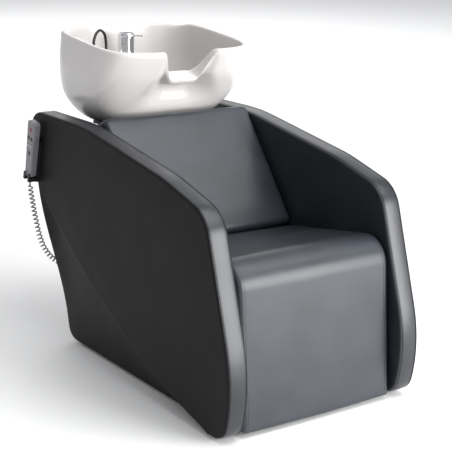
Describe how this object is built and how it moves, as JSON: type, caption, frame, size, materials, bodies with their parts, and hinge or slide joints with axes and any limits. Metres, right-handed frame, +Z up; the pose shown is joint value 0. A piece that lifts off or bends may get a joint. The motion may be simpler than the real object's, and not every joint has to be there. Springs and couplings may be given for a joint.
{
  "type": "shampoo backwash unit",
  "caption": "Salon shampoo unit: padded seat between broad sloping arms, lifting leg rest, tilting ceramic basin with mixer, hand shower and corded handset.",
  "frame": {"origin": "on the floor, on the middle plane of the seat, half way between the front of the arms and the rear of the basin", "axes": "+Z up; -Y is the way the sitter faces; X runs across the seat, and the handset hangs on the -X arm"},
  "size_m": [0.6965, 1.1733, 0.9861],
  "materials": {
    "black_leather": "satin",
    "plywood": "raw",
    "dark_steel": "satin",
    "zinc_steel": "satin",
    "chrome": "polished",
    "ceramic": "gloss",
    "black_plastic": "satin",
    "grey_plastic": "satin",
    "red_plastic": "satin",
    "black_rubber": "matte",
    "cord_grey": "satin"
  },
  "bodies": {
    "frame": {"left_arm": "black_leather", "right_arm": "black_leather", "left_side_board": "plywood", "right_side_board": "plywood", "front_rail": "plywood", "rear_rail": "plywood", "back_rail": "plywood", "seat_board": "plywood", "back_board": "plywood", "seat_cushion": "black_leather", "back_cushion": "black_leather", "base_plate": "dark_steel", "left_post": "dark_steel", "right_post": "dark_steel", "post_crossbar": "dark_steel", "tilt_pin": "zinc_steel", "rear_cover": "black_plastic", "rear_cover_catch": "black_plastic", "front_left_glide": "black_plastic", "front_right_glide": "black_plastic", "rear_left_glide": "black_plastic", "rear_right_glide": "black_plastic", "left_shaft_bearing": "dark_steel", "right_shaft_bearing": "dark_steel", "actuator_motor": "black_plastic", "actuator_tube": "zinc_steel", "control_box": "black_plastic", "power_inlet": "black_plastic", "handset_holder": "black_plastic", "handset_cord_gland": "black_rubber", "handset_lead_top": "cord_grey", "handset_cord_coil": "cord_grey", "handset_lead_end": "cord_grey"},
    "leg_rest": {"leg_rest_pad": "black_leather", "leg_rest_board": "plywood", "leg_rest_shaft": "zinc_steel", "leg_rest_left_plate": "dark_steel", "leg_rest_right_plate": "dark_steel", "leg_rest_crank": "dark_steel"},
    "actuator_rod": {"actuator_rod": "zinc_steel"},
    "basin_unit": {"basin": "ceramic", "tilt_bracket": "dark_steel", "drain_flange": "chrome", "drain_strainer": "chrome", "drain_tailpiece": "chrome", "mixer_body": "chrome", "hose_ferrule": "chrome", "shower_holder": "chrome", "shower_hose": "black_rubber"},
    "tilt_lock": {"tilt_lock_lever": "black_plastic"},
    "mixer_cap": {"mixer_cap": "chrome"},
    "mixer_lever": {"mixer_lever": "chrome"},
    "hand_shower": {"hand_shower_grip": "black_plastic", "hand_shower_head": "chrome"},
    "handset": {"handset_case": "grey_plastic", "handset_back": "grey_plastic"},
    "power_button": {"power_button": "red_plastic"},
    "raise_button": {"raise_button": "black_plastic"},
    "lower_button": {"lower_button": "black_plastic"},
    "massage_button": {"massage_button": "black_plastic"}
  },
  "joints": [
    {"name": "leg_rest_lift", "type": "hinge", "parent": "frame", "child": "leg_rest", "pos_m": [0, -0.44, 0.395], "axis": [-1, 0, 0], "range_deg": [0, 80]},
    {"name": "actuator_stroke", "type": "slide", "parent": "frame", "child": "actuator_rod", "axis": [0, -1, 0], "range_m": [0, 0.16712]},
    {"name": "basin_tilt", "type": "hinge", "parent": "frame", "child": "basin_unit", "pos_m": [0, 0.305, 0.672], "axis": [-1, 0, 0], "range_deg": [0, 8]},
    {"name": "tilt_lock_turn", "type": "hinge", "parent": "frame", "child": "tilt_lock", "pos_m": [-0.191, 0.305, 0.672], "axis": [-1, 0, 0], "range_deg": [0, 60]},
    {"name": "mixer_swivel", "type": "hinge", "parent": "basin_unit", "child": "mixer_cap", "pos_m": [0, 0.5, 0.958], "axis": [0, 0, 1], "range_deg": [-50, 50]},
    {"name": "mixer_lever_lift", "type": "hinge", "parent": "mixer_cap", "child": "mixer_lever", "pos_m": [0.01967, 0.47656, 0.958], "axis": [-0.766, -0.6428, 0], "range_deg": [0, 25]},
    {"name": "hand_shower_draw", "type": "slide", "parent": "basin_unit", "child": "hand_shower", "axis": [0, -1, 0], "range_m": [0, 0.06]},
    {"name": "handset_lift", "type": "slide", "parent": "frame", "child": "handset", "axis": [0, -0.2079, 0.9781], "range_m": [0, 0.03]},
    {"name": "power_button_press", "type": "slide", "parent": "handset", "child": "power_button", "axis": [1, 0, 0], "range_m": [0, 0.0012], "stiffness_N_per_m": 400, "springref_m": -0.0006},
    {"name": "raise_button_press", "type": "slide", "parent": "handset", "child": "raise_button", "axis": [1, 0, 0], "range_m": [0, 0.0012], "stiffness_N_per_m": 400, "springref_m": -0.0006},
    {"name": "lower_button_press", "type": "slide", "parent": "handset", "child": "lower_button", "axis": [1, 0, 0], "range_m": [0, 0.0012], "stiffness_N_per_m": 400, "springref_m": -0.0006},
    {"name": "massage_button_press", "type": "slide", "parent": "handset", "child": "massage_button", "axis": [1, 0, 0], "range_m": [0, 0.0012], "stiffness_N_per_m": 400, "springref_m": -0.0006}
  ],
  "couplings": [
    {"joint": "actuator_stroke", "follows": "leg_rest_lift", "m_per_rad": 0.1196}
  ]
}
